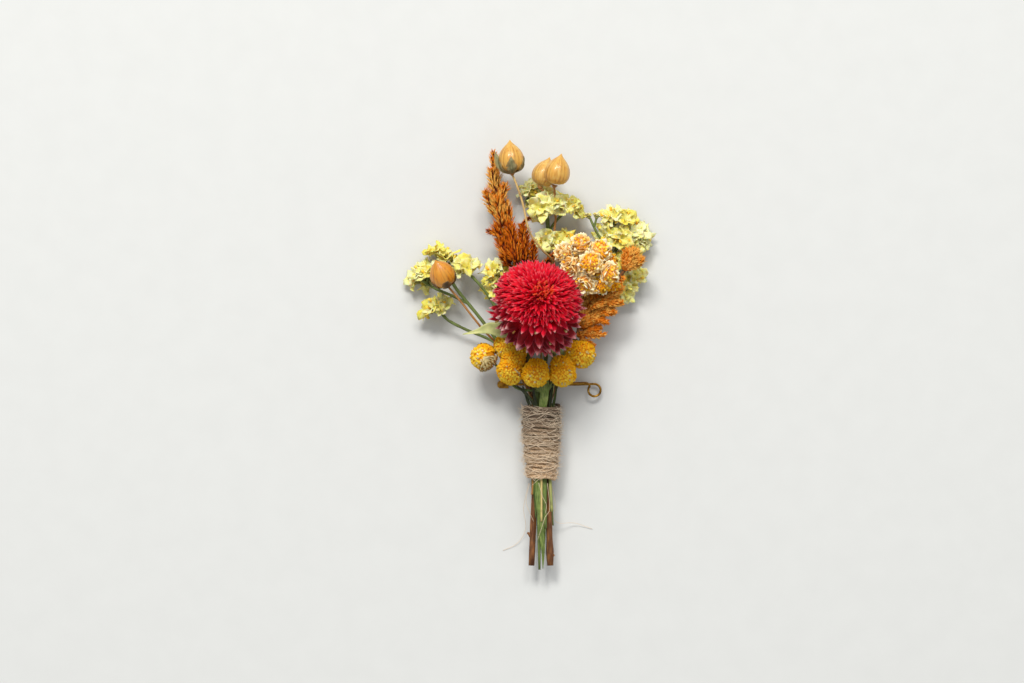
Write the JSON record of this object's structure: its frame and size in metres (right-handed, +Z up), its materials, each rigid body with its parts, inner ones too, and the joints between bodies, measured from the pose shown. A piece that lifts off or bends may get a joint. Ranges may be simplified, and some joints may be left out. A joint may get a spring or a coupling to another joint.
{
  "type": "boutonniere",
  "caption": "Dried-flower boutonniere: a red globe amaranth among flax capsules, pale statice, golden buttons, peach everlastings and rust plumes, bound with twine and pinned.",
  "frame": {"origin": "bottom centre of the bunch's box as it lies on its back on a table", "axes": "+Y along the bunch from the cut stems to the flower end, +Z up from the table through the red flower, +X to the right as seen from above"},
  "size_m": [0.0778, 0.129, 0.0367],
  "materials": {
    "twine": "loosely laid jute, matt",
    "pin_metal": "polished, darkened",
    "amaranth": "dry papery bracts, scarlet above and magenta below",
    "green_stem": "dry stem and leaf, matt",
    "capsule": "smooth ribbed husk, satin",
    "straw": "thin dry stalk, matt",
    "golden_button": "close granular florets, matt",
    "everlasting": "papery florets, matt",
    "plume": "dry bristles, matt",
    "woody_stem": "ridged dry stem, matt",
    "statice": "crumpled papery florets, slightly see-through"
  },
  "bodies": {
    "root": {"twine_wrap": "twine", "safety_pin_wire": "pin_metal", "safety_pin_cap": "pin_metal", "amaranth_head": "amaranth", "amaranth_stem": "green_stem", "golden_button_stalks": "green_stem", "everlasting_stem": "green_stem", "flax_capsule_top": "capsule", "flax_capsule_back": "capsule", "flax_capsule_front": "capsule", "flax_capsule_left": "capsule", "flax_stalk_top": "straw", "flax_stalk_pair": "straw", "flax_stalk_left": "straw", "straw_stem": "straw", "golden_button_1": "golden_button", "golden_button_2": "golden_button", "golden_button_3": "golden_button", "golden_button_4": "golden_button", "golden_button_5": "golden_button", "golden_button_6": "golden_button", "everlasting_heads": "everlasting", "plume_left": "plume", "plume_right": "plume", "plume_left_stem": "woody_stem", "plume_right_stem": "woody_stem", "statice_top": "statice", "statice_left": "statice", "statice_back": "statice", "statice_right": "statice"}
  },
  "joints": []
}
